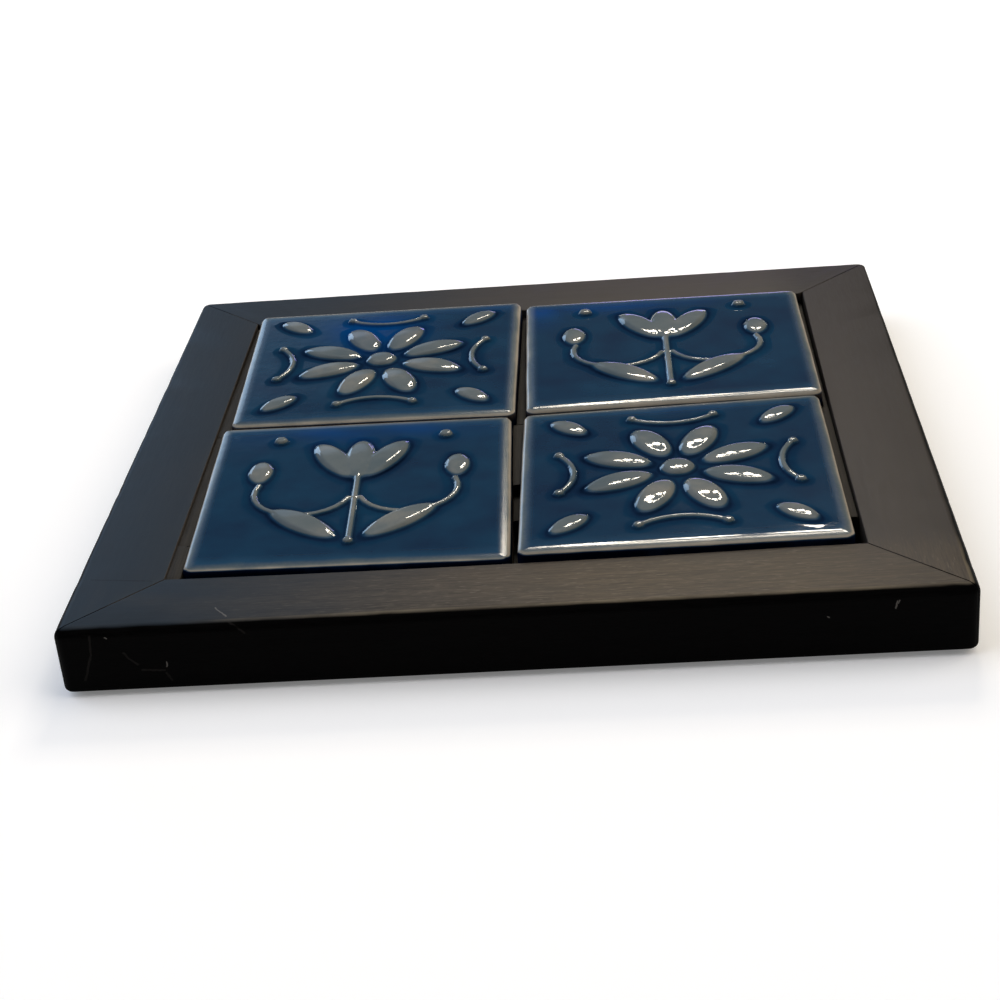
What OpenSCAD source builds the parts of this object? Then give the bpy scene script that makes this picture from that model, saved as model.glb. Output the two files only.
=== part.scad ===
// Square tile trivet: a mitred wooden frame holds four relief tiles on a base board.
// The origin is on the table under the middle of the frame, +Z is up, the front faces -Y.
// All lengths are in millimetres.

/* [Tiles] */
// Side of one square tile
tile_s = 76; // [72:0.5:84]
// Thickness of a tile, from its back to the flat of its face
tile_t = 9.5; // [8:0.1:12]
// Radius of a tile's upright corners
tile_corner_r = 2.6; // [2:0.1:4]
// Radius of the soft edge round a tile's face
tile_edge_r = 1.7; // [0.8:0.1:1.9]

/* [Relief] */
// Height of the large petals and leaves above the face
petal_h = 1.6; // [0.8:0.1:2.2]
// Height of the buds above the face
bud_h = 1.3; // [0.6:0.1:2]
// Height of the thin stems above the face
stem_h = 0.9; // [0.5:0.1:1.4]
// Width of the thin stems at the face
stem_w = 1.9; // [1.4:0.1:3]

/* [Gaps] */
// Gap from the left rail to the front left tile
left_gap = 2.6; // [2.4:0.1:5]
// Gap between the two front tiles
centre_gap = 2.6; // [1.6:0.1:4]
// Gap from the right tiles to the right rail
right_gap = 2.8; // [2.7:0.1:5]
// Gap from the front rail to the front tiles
front_gap = 0.6; // [0.5:0.1:2]
// Gap between the two rows of tiles
row_gap = 0.5; // [0.3:0.1:2]
// Gap from the back tiles to the back rail
back_gap = 0.5; // [0.4:0.1:2]
// How much nearer to the left rail the back left tile lies
back_left_shift = 0.8; // [0:0.1:1.4]
// Turn of the two left tiles, in degrees
left_turn = 0.4; // [0:0.1:0.4]
// Turn of the two right tiles, in degrees
right_turn = 0.2; // [0:0.1:0.4]

/* [Frame] */
// Width of each rail, seen from above
rail_w = 21.5; // [19:0.5:30]
// Height of the rails
rail_h = 16.2; // [14:0.1:18]
// Radius of the frame's upright corners
frame_corner_r = 2.4; // [1.3:0.1:4]
// Radius of the frame's outer edges, top and bottom
frame_edge_r = 1.2; // [0.5:0.1:1.2]
// Width of the rebate under the rails' inner edges
rebate_w = 7; // [6:0.5:8]
// Height of the rebate, from the underside of the rails
rebate_h = 6; // [5:0.1:7]

/* [Base board and tile beds] */
// Thickness of the base board
board_t = 5; // [4:0.1:5]
// Gap all round between the base board and the rebate
board_fit = 0.3; // [0.1:0.1:0.6]
// Thickness of the adhesive under the front left tile
bed_front_left_t = 1.6; // [1:0.1:3.5]
// Thickness of the adhesive under the front right tile
bed_front_right_t = 2.6; // [1:0.1:3.5]
// Thickness of the adhesive under the back left tile
bed_back_left_t = 3; // [1:0.1:3.5]
// Thickness of the adhesive under the back right tile
bed_back_right_t = 2.6; // [1:0.1:3.5]
// How far the adhesive stops short of a tile's edges
bed_inset = 3; // [2:0.5:8]

/* [Filler strips] */
// Gap between a filler strip and what it lies beside
filler_fit = 0.15; // [0.1:0.05:0.2]
// How far the left strips lie below the rails' top
left_drop = 0.5; // [0:0.1:3]
// How far the corner piece lies below the rails' top
corner_drop = 0.3; // [0:0.1:3]
// Length of the corner piece
corner_l = 16; // [8:0.5:30]
// Slant of the saw cut between the corner piece and the left strip
corner_slant = 0.8; // [0:0.1:1.5]
// How far the centre strips lie below the rails' top
centre_drop = 1.6; // [0:0.1:4]
// Length of the front centre strip
centre_front_l = 35; // [20:0.5:40]
// Length of the short slip that lies in front of it
slip_l = 13; // [6:0.5:20]
// Height of the short slip
slip_h = 6; // [3:0.1:8]
// Gap between the centre strips and the short slip
slip_gap = 1.2; // [0.5:0.1:3]
// Width of the right strip
right_filler_w = 2.2; // [0.8:0.1:2.2]
// How far the right strip lies below the rails' top
right_drop = 0.8; // [0:0.1:3]
// How far the right strip stops short of the front rail
right_short = 14.5; // [5:0.5:40]

/* [Fasteners] */
// Length of each leg of a V nail
vnail_leg = 5; // [4:0.1:5]
// Thickness of a V nail
vnail_t = 0.8; // [0.5:0.1:1]
// Height of a V nail
vnail_h = 7; // [5:0.1:9]
// How far a V nail is driven below the underside of the rails
vnail_sink = 0.2; // [0.1:0.1:0.5]
// Distance of the outer V nail from the frame's outer faces
vnail_first = 4; // [3:0.1:4]
// Distance between the two V nails of a corner
vnail_step = 4.5; // [3.5:0.1:5]
// Length of a base board screw
screw_l = 12; // [9:0.5:13]
// Diameter of a screw's shank
screw_d = 2.6; // [2:0.1:3]
// Diameter of a screw's head
screw_head_d = 5.2; // [4.5:0.1:5.4]
// Height of the cone under a screw's head
screw_head_h = 1.4; // [1:0.1:2]
// Gap round a screw in its hole
screw_fit = 0.1; // [0.05:0.05:0.15]
// Width of the cross slots in a screw's head
screw_slot_w = 0.6; // [0.4:0.1:0.8]
// Depth of the cross slots in a screw's head
screw_slot_h = 0.8; // [0.5:0.1:1]

/* [Feet] */
// Diameter of a rubber foot
foot_d = 12; // [8:0.5:12]
// Height of a rubber foot
foot_h = 1.2; // [0.8:0.1:3]
// Radius of a foot's lower edge
foot_edge_r = 0.5; // [0.2:0.1:0.7]
// Distance from a foot's middle to the frame's outer faces
foot_inset = 9.5; // [8:0.1:10]

/* [Hidden] */

// Curves are drawn with this many sides
$fn = 64;
// How far every cut runs past what it cuts
over = 1;

// The opening follows the tiles and the gaps round them, and the frame follows the opening
opening_w = left_gap + tile_s + centre_gap + tile_s + right_gap;
opening_d = front_gap + tile_s + row_gap + tile_s + back_gap;
frame_w = opening_w + 2 * rail_w;
frame_d = opening_d + 2 * rail_w;

// Heights above the table
frame_z = foot_h;
board_top_z = frame_z + rebate_h;
board_z = board_top_z - board_t;

// Middles of the tiles
left_x = -opening_w / 2 + left_gap + tile_s / 2;
back_left_x = left_x - back_left_shift;
right_x = opening_w / 2 - right_gap - tile_s / 2;
front_y = -opening_d / 2 + front_gap + tile_s / 2;
back_y = opening_d / 2 - back_gap - tile_s / 2;
// Middle of the gap between the rows
row_y = (front_y + back_y) / 2;

// How far from its middle a tile reaches once it is turned
function reach(turn) = tile_s / 2 * (cos(turn) + sin(turn));
left_reach = reach(left_turn);
right_reach = reach(right_turn);

// Colours
ebonised = "#2b2926";
stained_strip = "#1f1b17";
board_black = "#171513";
glaze_blue = "#14395c";
adhesive_grey = "#b9b5aa";
steel_grey = "#a9a9a6";
rubber_black = "#1a1a1a";

// Radius of a ball or tube that rises by h over a field and is w wide there
function cap_r(w, h) = (w * w / 4 + h * h) / (2 * h);

// The corner that an eased edge of radius r takes off, with its rounding centred on zero
module edge_cut(r) {
    difference() {
        square([r + over, r + over]);
        circle(r);
    }
}

// Upright section of an eased block, standing on zero
module eased_section(w, h, top_r, bottom_r) {
    difference() {
        translate([-w / 2, 0]) square([w, h]);
        for (side = [0, 1]) mirror([side, 0]) {
            translate([w / 2 - top_r, h - top_r]) edge_cut(top_r);
            if (bottom_r > 0) translate([w / 2 - bottom_r, bottom_r]) mirror([0, 1]) edge_cut(bottom_r);
        }
    }
}

// Block with round upright corners and soft edges, standing on zero
module eased_block(w, d, h, corner_r, top_r, bottom_r) {
    rotate([90, 0, 90]) translate([0, 0, -w / 2 + corner_r])
        linear_extrude(w - 2 * corner_r) eased_section(d, h, top_r, bottom_r);
    rotate([90, 0, 0]) translate([0, 0, -d / 2 + corner_r])
        linear_extrude(d - 2 * corner_r) eased_section(w, h, top_r, bottom_r);
    for (x = [-1, 1], y = [-1, 1])
        translate([x * (w / 2 - corner_r), y * (d / 2 - corner_r), 0])
            rotate_extrude() intersection() {
                eased_section(2 * corner_r, h, top_r, bottom_r);
                square([corner_r + over, h]);
            }
}

// Plain block with its middle over zero, standing on zero
module centred_block(w, d, h) {
    translate([-w / 2, -d / 2, 0]) cube([w, d, h]);
}

// V nail in a corner whose outer point is at zero, with the frame towards -X and +Y
module v_nail() {
    translate([-vnail_leg, -vnail_t / 2, 0]) cube([vnail_leg + vnail_t / 2, vnail_t, vnail_h]);
    translate([-vnail_t / 2, -vnail_t / 2, 0]) cube([vnail_t, vnail_leg + vnail_t / 2, vnail_h]);
}

// The two V nails of a corner, each where the mitre runs
module corner_nails(sink) {
    for (place = [vnail_first, vnail_first + vnail_step])
        translate([-place, place, sink]) v_nail();
}

// Countersunk screw, head down on zero
module board_screw(fit) {
    tip_h = screw_d;
    cylinder(h = screw_head_h, d1 = screw_head_d + 2 * fit, d2 = screw_d + 2 * fit);
    cylinder(h = screw_l - tip_h, d = screw_d + 2 * fit);
    translate([0, 0, screw_l - tip_h]) cylinder(h = tip_h + fit, d1 = screw_d + 2 * fit, d2 = 0);
}

// Distance of the screws from the middle of a rail, in parts of the opening
screw_place_share = 0.32;

// Screw places along one rail of a frame that is w wide and d deep, at its front
module rail_screws(w, d) {
    for (side = [-1, 1])
        translate([side * (w - 2 * rail_w) * screw_place_share, -d / 2 + rail_w - rebate_w / 2, board_z])
            children();
}

// Front rail of a frame that is w wide and d deep, with mitred ends
module rail(w, d) {
    inner_w = w - 2 * rail_w;
    inner_d = d - 2 * rail_w;
    end = rail_w + over;
    difference() {
        intersection() {
            translate([0, 0, frame_z])
                eased_block(w, d, rail_h, frame_corner_r, frame_edge_r, frame_edge_r);
            translate([0, 0, frame_z - over]) linear_extrude(rail_h + 2 * over)
                polygon([
                    [-w / 2 - over, -d / 2 - over], [w / 2 + over, -d / 2 - over],
                    [w / 2 - end, -d / 2 + end], [-w / 2 + end, -d / 2 + end]
                ]);
        }
        translate([0, 0, frame_z - over]) centred_block(inner_w, inner_d, rail_h + 2 * over);
        translate([0, 0, frame_z - over])
            centred_block(inner_w + 2 * rebate_w, inner_d + 2 * rebate_w, rebate_h + over);
        for (side = [0, 1]) mirror([side, 0, 0]) {
            translate([w / 2, -d / 2, frame_z]) corner_nails(vnail_sink);
            translate([w / 2, -d / 2, frame_z]) corner_nails(-over);
        }
        rail_screws(w, d) board_screw(screw_fit);
    }
}

module front_rail() {
    color(ebonised) rail(frame_w, frame_d);
}

module back_rail() {
    color(ebonised) rotate([0, 0, 180]) rail(frame_w, frame_d);
}

module left_rail() {
    color(ebonised) rotate([0, 0, -90]) rail(frame_d, frame_w);
}

module right_rail() {
    color(ebonised) rotate([0, 0, 90]) rail(frame_d, frame_w);
}

// Calls its children for the screws of all four rails
module all_screws() {
    for (turn = [0, 180]) rotate([0, 0, turn]) rail_screws(frame_w, frame_d) children();
    for (turn = [-90, 90]) rotate([0, 0, turn]) rail_screws(frame_d, frame_w) children();
}

// The board lies in the rebate, screwed up into the rails
module base_board() {
    board_w = opening_w + 2 * (rebate_w - board_fit);
    board_d = opening_d + 2 * (rebate_w - board_fit);
    color(board_black) difference() {
        translate([0, 0, board_z]) centred_block(board_w, board_d, board_t);
        all_screws() board_screw(screw_fit);
        all_screws() translate([0, 0, -over]) cylinder(h = over, d = screw_head_d + 2 * screw_fit);
    }
}

// Petal or leaf: a pointed oval that swells to h over the face, lying along X
module petal(l, w, h) {
    round_r = cap_r(w, h);
    arch_r = cap_r(l, h);
    translate([0, 0, h - round_r]) rotate([0, 90, 0]) rotate_extrude() intersection() {
        translate([round_r - arch_r, 0]) circle(arch_r);
        translate([0, -arch_r]) square([round_r + over, 2 * arch_r]);
    }
}

// Round boss of width w that swells to h over the face
module boss(w, h) {
    r = cap_r(w, h);
    translate([0, 0, h - r]) sphere(r);
}

// Thin stem along an arc round zero, with a small bud on each end
module stem_arc(bend_r, from, to) {
    r = cap_r(stem_w, stem_h);
    translate([0, 0, stem_h - r]) {
        rotate([0, 0, from]) rotate_extrude(angle = to - from) translate([bend_r, 0]) circle(r);
        for (a = [from, to]) rotate([0, 0, a]) translate([bend_r, 0, 0]) sphere(r * stem_bud_share);
    }
}

// Size of the bud on the end of a stem, in parts of the stem
stem_bud_share = 1.3;

// Rosette, in parts of the tile's side: boss, petals, corner buds and swags
rosette_petals = 8;
boss_w_share = 0.12;
petal_l_share = 0.2;
petal_w_share = 0.088;
petal_ring_share = 0.195;
corner_bud_l_share = 0.15;
corner_bud_w_share = 0.066;
corner_bud_place_share = 0.345;
swag_r_share = 0.22;
swag_place_share = 0.55;
swag_span = 38;

module rosette() {
    boss(tile_s * boss_w_share, petal_h);
    for (i = [0 : rosette_petals - 1]) rotate([0, 0, 360 / rosette_petals * (i + 1 / 2)])
        translate([tile_s * petal_ring_share, 0, 0])
            petal(tile_s * petal_l_share, tile_s * petal_w_share, petal_h);
    for (i = [0 : 3]) rotate([0, 0, 90 * i]) {
        translate([tile_s, tile_s, 0] * corner_bud_place_share) rotate([0, 0, 45])
            petal(tile_s * corner_bud_l_share, tile_s * corner_bud_w_share, bud_h);
        translate([0, -tile_s * swag_place_share, 0])
            stem_arc(tile_s * swag_r_share, 90 - swag_span, 90 + swag_span);
    }
}

// Tulip, in parts of the tile's side. Its stem stands on the middle line.
head_y_share = 0.2;
head_l_share = 0.3;
head_w_share = 0.11;
side_petal_share = 0.085;
side_petal_tilt = 26;
main_stem_share = 0.46;
main_stem_y_share = -0.36;
leaf_l_share = 0.31;
leaf_w_share = 0.085;
leaf_place_share = [0.155, -0.235];
leaf_tilt = 42;
curl_r_share = 0.16;
curl_place_share = [0.17, -0.02];
curl_start = -160;
curl_end = 20;
curl_bud_l_share = 0.13;
curl_bud_w_share = 0.07;
curl_bud_place_share = [0.325, 0.12];
dot_w_share = 0.05;
dot_place_share = [0.28, 0.36];

module tulip() {
    r = cap_r(stem_w, stem_h);
    translate([0, tile_s * main_stem_y_share, stem_h - r]) {
        rotate([-90, 0, 0]) cylinder(h = tile_s * main_stem_share, r = r);
        sphere(r * stem_bud_share);
    }
    translate([0, tile_s * head_y_share, 0]) rotate([0, 0, 90])
        petal(tile_s * head_l_share, tile_s * head_w_share, petal_h);
    for (side = [0, 1]) mirror([side, 0, 0]) {
        translate([tile_s * side_petal_share, tile_s * head_y_share, 0])
            rotate([0, 0, 90 - side_petal_tilt])
                petal(tile_s * head_l_share, tile_s * head_w_share, petal_h);
        translate(tile_s * leaf_place_share) rotate([0, 0, leaf_tilt])
            petal(tile_s * leaf_l_share, tile_s * leaf_w_share, petal_h);
        translate(tile_s * curl_place_share)
            stem_arc(tile_s * curl_r_share, curl_start, curl_end);
        translate(tile_s * curl_bud_place_share) rotate([0, 0, 90])
            petal(tile_s * curl_bud_l_share, tile_s * curl_bud_w_share, bud_h);
        translate(tile_s * dot_place_share) boss(tile_s * dot_w_share, bud_h);
    }
}

// Tile on its adhesive, with the relief given as its child
module tile(x, y, turn, bed_t) {
    color(glaze_blue) translate([x, y, board_top_z + bed_t]) rotate([0, 0, turn]) {
        eased_block(tile_s, tile_s, tile_t, tile_corner_r, tile_edge_r, 0);
        translate([0, 0, tile_t]) intersection() {
            children();
            translate([0, 0, -tile_t / 2]) centred_block(tile_s, tile_s, tile_t);
        }
    }
}

module tile_front_left() {
    tile(left_x, front_y, left_turn, bed_front_left_t) tulip();
}

module tile_front_right() {
    tile(right_x, front_y, right_turn, bed_front_right_t) rosette();
}

module tile_back_left() {
    tile(back_left_x, back_y, left_turn, bed_back_left_t) rosette();
}

module tile_back_right() {
    tile(right_x, back_y, right_turn, bed_back_right_t) tulip();
}

// Spread of adhesive between the base board and a tile
module bed(x, y, turn, bed_t) {
    side = tile_s - 2 * bed_inset;
    color(adhesive_grey) translate([x, y, board_top_z]) rotate([0, 0, turn])
        centred_block(side, side, bed_t);
}

module bed_front_left() {
    bed(left_x, front_y, left_turn, bed_front_left_t);
}

module bed_front_right() {
    bed(right_x, front_y, right_turn, bed_front_right_t);
}

module bed_back_left() {
    bed(back_left_x, back_y, left_turn, bed_back_left_t);
}

module bed_back_right() {
    bed(right_x, back_y, right_turn, bed_back_right_t);
}

// Strip that stands on the base board between two corners, seen from above
module strip(x0, y0, x1, y1, drop) {
    color(stained_strip) translate([x0, y0, board_top_z])
        cube([x1 - x0, y1 - y0, rail_h - rebate_h - drop]);
}

// Faces of the rails that the strips lie beside
left_wall_x = -opening_w / 2 + filler_fit;
front_wall_y = -opening_d / 2 + filler_fit;
back_wall_y = opening_d / 2 - filler_fit;
// Where the corner piece ends
corner_y = front_wall_y + corner_l;

module left_filler_back() {
    strip(left_wall_x, row_y + filler_fit, back_left_x - left_reach - filler_fit, back_wall_y, left_drop);
}

// Its front end is sawn on a slant, along the corner piece
module left_filler_front() {
    side_x = left_x - left_reach - filler_fit;
    color(stained_strip) translate([0, 0, board_top_z]) linear_extrude(rail_h - rebate_h - left_drop)
        polygon([
            [left_wall_x, corner_y + filler_fit], [side_x, corner_y + corner_slant + filler_fit],
            [side_x, row_y - filler_fit], [left_wall_x, row_y - filler_fit]
        ]);
}

module left_filler_corner() {
    side_x = left_x - left_reach - filler_fit;
    color(ebonised) translate([0, 0, board_top_z]) linear_extrude(rail_h - rebate_h - corner_drop)
        polygon([
            [left_wall_x, front_wall_y], [side_x, front_wall_y],
            [side_x, corner_y + corner_slant], [left_wall_x, corner_y]
        ]);
}

// The gap between the right and the left tiles, which the centre strips fill
centre_right_x = right_x - right_reach - filler_fit;

module centre_filler_back() {
    strip(back_left_x + left_reach + filler_fit, row_y + filler_fit, centre_right_x, back_wall_y, centre_drop);
}

module centre_filler_front() {
    strip(left_x + left_reach + filler_fit, row_y - centre_front_l, centre_right_x, row_y - filler_fit,
        centre_drop);
}

// A short offcut that lies lower in the same gap
module centre_filler_slip() {
    far_y = row_y - centre_front_l - slip_gap;
    color(stained_strip) translate([left_x + left_reach + filler_fit, far_y - slip_l, board_top_z])
        cube([centre_right_x - left_x - left_reach - filler_fit, slip_l, slip_h]);
}

module right_filler() {
    side_x = right_x + right_reach + filler_fit;
    strip(side_x, front_wall_y + right_short, side_x + right_filler_w, back_wall_y, right_drop);
}

module mitre_v_nails() {
    color(steel_grey) for (x = [0, 1], y = [0, 1]) mirror([x, 0, 0]) mirror([0, y, 0])
        translate([frame_w / 2, -frame_d / 2, frame_z]) corner_nails(vnail_sink);
}

module board_screws() {
    slot_l = screw_head_d - 2 * screw_slot_w;
    color(steel_grey) all_screws() difference() {
        board_screw(0);
        for (turn = [0, 90]) rotate([0, 0, turn])
            translate([0, 0, -over]) centred_block(slot_l, screw_slot_w, screw_slot_h + over);
    }
}

// Stick-on foot with a soft lower edge
module foot(x, y) {
    color(rubber_black) translate([x * (frame_w / 2 - foot_inset), y * (frame_d / 2 - foot_inset), 0])
        rotate_extrude() intersection() {
            translate([0, foot_h]) mirror([0, 1]) eased_section(foot_d, foot_h, foot_edge_r, 0);
            square([foot_d, foot_h]);
        }
}

module foot_front_left() {
    foot(-1, -1);
}

module foot_front_right() {
    foot(1, -1);
}

module foot_back_left() {
    foot(-1, 1);
}

module foot_back_right() {
    foot(1, 1);
}

front_rail();
back_rail();
left_rail();
right_rail();
base_board();
tile_front_left();
tile_front_right();
tile_back_left();
tile_back_right();
bed_front_left();
bed_front_right();
bed_back_left();
bed_back_right();
left_filler_back();
left_filler_front();
left_filler_corner();
centre_filler_back();
centre_filler_front();
centre_filler_slip();
right_filler();
mitre_v_nails();
board_screws();
foot_front_left();
foot_front_right();
foot_back_left();
foot_back_right();
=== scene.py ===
"""Looks of the tile trivet: a black wooden frame round four blue relief tiles.

Lengths are written in millimetres, and MM turns them to the scene's metres.
"""
import functools
import random
from math import copysign, cos, exp, pi, radians, sin, sqrt, tau

import bmesh
import bpy
from mathutils import Matrix, Vector, noise


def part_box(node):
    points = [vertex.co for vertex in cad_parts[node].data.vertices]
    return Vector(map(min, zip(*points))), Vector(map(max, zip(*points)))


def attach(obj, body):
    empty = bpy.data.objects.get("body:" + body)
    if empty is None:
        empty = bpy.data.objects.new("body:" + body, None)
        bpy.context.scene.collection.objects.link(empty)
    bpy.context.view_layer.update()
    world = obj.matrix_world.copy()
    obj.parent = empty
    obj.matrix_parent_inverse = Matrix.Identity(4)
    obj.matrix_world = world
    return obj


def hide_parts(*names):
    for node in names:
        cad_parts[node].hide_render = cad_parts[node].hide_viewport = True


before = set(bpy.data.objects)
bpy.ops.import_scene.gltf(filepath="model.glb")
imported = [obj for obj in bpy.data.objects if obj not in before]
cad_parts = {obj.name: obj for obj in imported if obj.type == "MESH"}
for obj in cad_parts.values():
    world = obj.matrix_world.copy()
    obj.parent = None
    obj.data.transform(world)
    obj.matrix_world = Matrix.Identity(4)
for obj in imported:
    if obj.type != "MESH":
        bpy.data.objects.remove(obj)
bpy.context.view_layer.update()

MM = 0.001
scene = bpy.context.scene

# Sizes that the frame gives
FRAME_LOW, FRAME_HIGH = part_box("front_rail")
UNDERSIDE = FRAME_LOW.z
RAIL_W = FRAME_HIGH.y - FRAME_LOW.y
RAIL_H = FRAME_HIGH.z - UNDERSIDE
REBATE_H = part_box("base_board")[1].z - UNDERSIDE
HALF_W = -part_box("left_rail")[0].x
HALF_D = -FRAME_LOW.y

# The rails: how round their edges are, and what is planed off each inner edge at its middle, with the slope and
# the bow of the cut along the rail, in millimetres
EDGE_R = 1.2 * MM
TOP_EDGE_R = 2.5 * MM
ARRIS_R = 0.25 * MM
CORNER_R = 2.4 * MM
REBATE_W = 7 * MM
PLANED = {"front": (0.95, -0.25, -1.2), "right": (0.15, 0.45, 0.3), "back": (0, 0, 0), "left": (0.95, -0.85, -0.1)}
# How much of the top outer edge's rounding each rail has at its two ends
ROUNDING = {"front": (1, 1), "right": (1, 0.3), "back": (0.3, 0.3), "left": (0.3, 1)}
# Steps round a rounded edge and along a rail
ARRIS_STEPS = 9
RAIL_STEPS = 161

# A tile and its edges
TILE_S = 76 * MM
TILE_CORNER_R = 2.6 * MM
TILE_EDGE_R = 0.95 * MM
TILE_FOOT_R = 0.4 * MM
# The face falls off slowly over this width, to this slope, before it rolls over
CROWN_W = 2.1 * MM
CROWN_SLOPE = 0.2
# Cells along a tile's side, rings of them round the soft edge and steps down the side
TILE_CELLS = 296
EDGE_RINGS = 10
SIDE_STEPS = 5

# The relief: its heights, how much steeper its sides are than a ball's, how broadly its tops are domed and how
# softly side and top meet
PETAL_H = 1.6 * MM
BUD_H = 1.3 * MM
STEM_W, STEM_H = 1.9 * MM, 0.9 * MM
BEAD_W, BEAD_H = 1.45 * STEM_W, 1.25 * STEM_H
STEEPER = 1.6
DOME_R = 34 * MM
SHOULDER = 0.016
# How softly the relief runs into the face under the glaze, and one form into another
GLAZE_FILLET = 0.34 * MM
MELT = 0.25 * MM
# How far the face waves, and how far the rim wanders as a share of its place
FACE_WAVE = 0.07 * MM
RIM_WANDER = 0.0024

# Kinds of node that come up often, each with what it is set to
(PLUS, MINUS, TIMES, OVER, TIMES_PLUS, LARGER, SMALLER, ABOVE, SIGN, SIZE, FLOOR, MODULO, PINGPONG, SINE, COSINE,
 ARCTAN2) = (("ShaderNodeMath", {"operation": name}) for name in (
     "ADD", "SUBTRACT", "MULTIPLY", "DIVIDE", "MULTIPLY_ADD", "MAXIMUM", "MINIMUM", "GREATER_THAN", "SIGN",
     "ABSOLUTE", "FLOOR", "MODULO", "PINGPONG", "SINE", "COSINE", "ARCTAN2"))
V_PLUS, V_MINUS, V_TIMES, V_SCALE, V_DOT, V_LENGTH = (("ShaderNodeVectorMath", {"operation": name}) for name in (
    "ADD", "SUBTRACT", "MULTIPLY", "SCALE", "DOT_PRODUCT", "LENGTH"))
RANGE, SMOOTH_RANGE = "ShaderNodeMapRange", ("ShaderNodeMapRange", {"interpolation_type": "SMOOTHSTEP"})
MIX, MIX_COLOURS = "ShaderNodeMix", ("ShaderNodeMix", {"data_type": "RGBA"})
STORE, READ = "GeometryNodeStoreNamedAttribute", "GeometryNodeInputNamedAttribute"
STORE_VECTOR, READ_VECTOR = (STORE, {"data_type": "FLOAT_VECTOR"}), (READ, {"data_type": "FLOAT_VECTOR"})
NOISE = ("ShaderNodeTexNoise", {"Scale": 1.0})
MAPPING, BUMP, ATTRIBUTE = "ShaderNodeMapping", "ShaderNodeBump", "ShaderNodeAttribute"
SPLIT, JOIN, PLACE = "ShaderNodeSeparateXYZ", "ShaderNodeCombineXYZ", "ShaderNodeTexCoord"


def linear(colour):
    """Turns an sRGB hex colour to a linear one with an alpha of 1."""
    parts = [int(colour[i:i + 2], 16) / 255 for i in (1, 3, 5)]
    return [c / 12.92 if c <= 0.04045 else ((c + 0.055) / 1.055) ** 2.4 for c in parts] + [1.0]


def add_node(tree, kind, *values, **settings):
    """Adds a node of a kind, which is a type's name, alone or with what it is set to.

    The values go to its inputs in order, and each setting names an input or a property. A node given as a value
    stands for its first output in use, and a hex colour for its linear one.
    """
    name, preset = (kind, {}) if isinstance(kind, str) else kind
    node = tree.nodes.new(name)
    named = {}
    for label, value in {**preset, **settings}.items():
        if label in node.bl_rna.properties:
            setattr(node, label, value)
        else:
            named[label.replace("_", " ")] = value
    live = [socket for socket in node.inputs if socket.enabled]
    for socket, value in [*zip(live, values), *((node.inputs[label], value) for label, value in named.items())]:
        if isinstance(value, bpy.types.Node):
            value = next(output for output in value.outputs if output.enabled)
        if isinstance(value, bpy.types.NodeSocket):
            tree.links.new(value, socket)
        else:
            socket.default_value = linear(value) if str(value).startswith("#") else value
    return node


def cell(*sizes):
    """Scale of a pattern whose cells are this many millimetres long, every way or along each axis."""
    scales = [1 / (size * MM) for size in sizes]
    return scales if len(scales) > 1 else scales[0]


def make_material(finish):
    """The material that a function of the same name describes: it returns the inputs of the shader."""
    material = bpy.data.materials.new(finish.__name__)
    material.use_nodes = True
    material.node_tree.nodes.clear()
    add = functools.partial(add_node, material.node_tree)
    add("ShaderNodeOutputMaterial", Surface=add("ShaderNodeBsdfPrincipled", **finish(add)))
    return material


# Strokes on the wood, from point to point: pale scratches, faint smears and dark ones
PALE_SCRATCHES = (
    ((-65.8, -91.0, 17.4), (-62.6, -95.0, 17.4)), ((-76.8, -98.3, 8.4), (-76.9, -98.3, 7.2)),
    ((-89.6, -98.3, 15.4), (-89.2, -98.3, 15.2)), ((83.5, -98.3, 14.6), (83.2, -98.3, 12.9)),
    ((83.9, -98.3, 14.7), (83.8, -98.3, 14.2)), ((68.7, -98.3, 11.6), (69.0, -98.3, 11.5)))
FAINT_SMEARS = (
    ((-93.0, -98.3, 15.9), (-93.4, -98.3, 11.0)), ((-93.4, -98.3, 11.0), (-95.8, -98.3, 4.6)),
    ((-61.9, -97.0, 17.3), (-58.4, -98.3, 14.9)), ((-86.0, -98.3, 11.2), (-85.0, -98.3, 9.6)),
    ((-85.0, -98.3, 9.6), (-83.2, -98.3, 8.0)), ((-82.6, -98.3, 6.6), (-77.6, -98.3, 6.3)),
    ((-77.2, -98.3, 5.6), (-76.2, -98.3, 3.6)))
DARK_SCRATCHES = (((-97.3, -75.3, 17.4), (-82.8, -77.3, 17.4)),)


def scratch(add, place, marks, width):
    """A mask that is 1 on thin marks, each a straight stroke between two points in millimetres."""
    mask = None
    for start, end in marks:
        stroke = Vector(end) - Vector(start)
        away = add(V_MINUS, place, [c * MM for c in start])
        along = add("ShaderNodeClamp", add(V_DOT, away, stroke / (stroke.length_squared * MM)))
        away = add(V_LENGTH, add(V_MINUS, away, add(V_SCALE, stroke * MM, Scale=along)))
        mark = add(RANGE, away, width * MM * 0.3, width * MM * 0.6, 1.0, 0.0)
        mask = add(LARGER, mask, mark) if mask else mark
    return mask


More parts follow.
